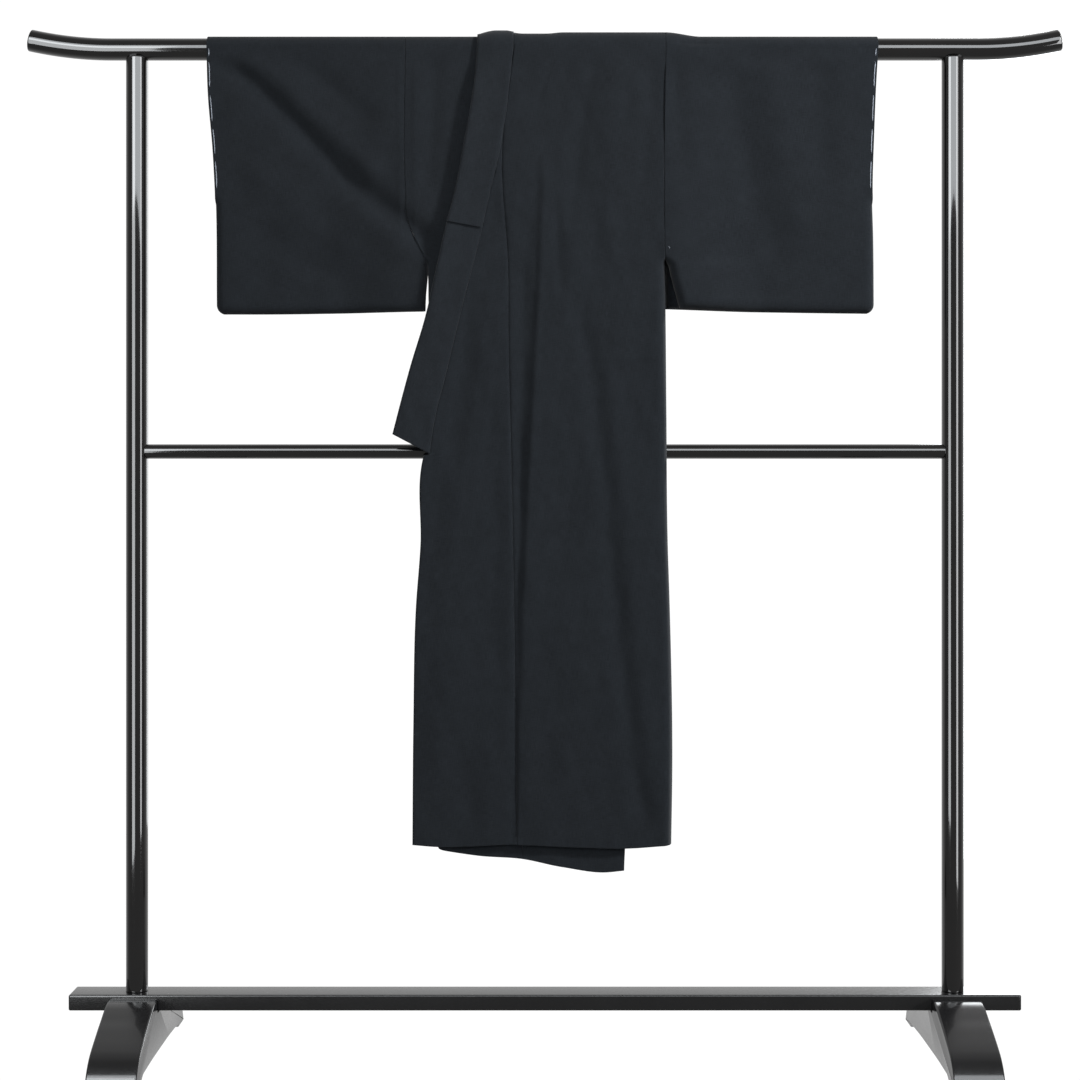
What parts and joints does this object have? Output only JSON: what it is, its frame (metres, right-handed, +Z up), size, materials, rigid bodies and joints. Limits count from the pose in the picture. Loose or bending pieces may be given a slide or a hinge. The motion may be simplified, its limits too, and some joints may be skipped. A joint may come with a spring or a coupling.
{
  "type": "kimono on a lacquered kimono stand",
  "caption": "Dark man's kimono spread open-sleeved over the rod of a black lacquered kimono stand, its left front lapped over the right and hanging free to the hem.",
  "frame": {"origin": "on the floor under the middle of the stand", "axes": "+Z up, -Y to the front, +X to the wearer's left, along the rod"},
  "size_m": [1.6972, 0.418, 1.6876],
  "materials": {
    "kimono_cloth": "matte, fine plain weave, dark navy",
    "collar_cloth": "matte, fine plain weave, dark navy",
    "gloss_lacquer": "gloss black lacquer",
    "satin_lacquer": "satin black lacquer"
  },
  "bodies": {
    "root": {"sleeve_right": "kimono_cloth", "sleeve_left": "kimono_cloth", "body_right": "kimono_cloth", "body_left": "kimono_cloth", "okumi_right": "kimono_cloth", "okumi_left": "kimono_cloth", "collar_right": "collar_cloth", "collar_left": "collar_cloth", "collar_back": "collar_cloth", "overcollar_left": "collar_cloth", "rod": "gloss_lacquer", "post_right": "gloss_lacquer", "post_left": "gloss_lacquer", "rail": "gloss_lacquer", "beam": "satin_lacquer", "foot_right": "satin_lacquer", "foot_left": "satin_lacquer"}
  },
  "joints": []
}
